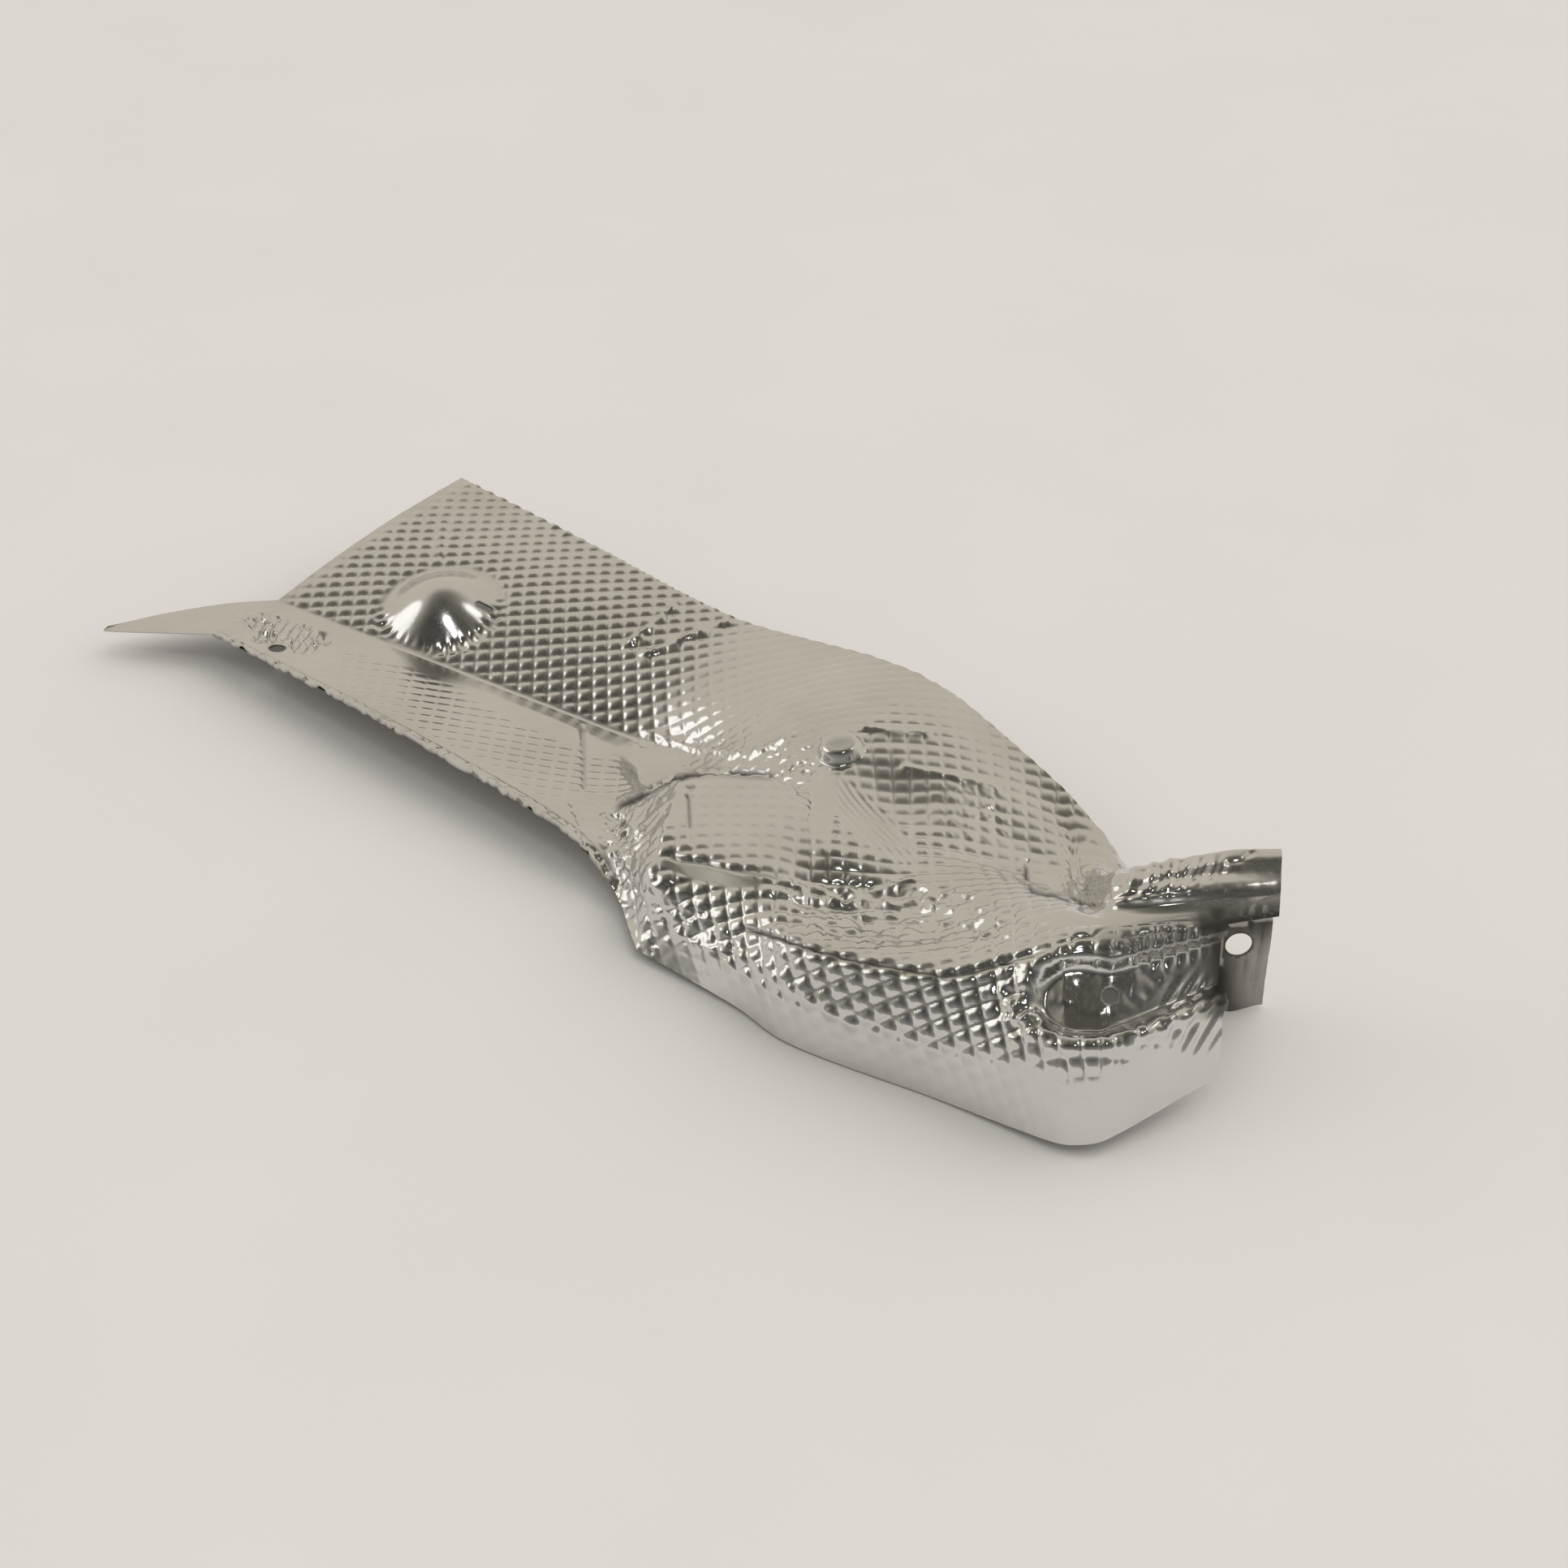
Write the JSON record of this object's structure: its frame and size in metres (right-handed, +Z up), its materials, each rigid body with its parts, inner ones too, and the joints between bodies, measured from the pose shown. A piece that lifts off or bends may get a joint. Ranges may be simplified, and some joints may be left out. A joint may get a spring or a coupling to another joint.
{
  "type": "heat shield",
  "caption": "Pressed heat shield of waffle-embossed aluminium sheet: a flat panel with a folded flange and a dome, running into a hump with a raised channel at one end.",
  "frame": {"origin": "middle of the bounding box at the height of the table it rests on", "axes": "+X along the shield from the flat panel to the channel, +Y across it to the panel's free rim, +Z up"},
  "size_m": [0.6108, 0.235, 0.0808],
  "materials": {
    "sheet": "bright rolled aluminium, embossed with a fine square waffle"
  },
  "bodies": {
    "root": {"heat_shield": "sheet"}
  },
  "joints": []
}
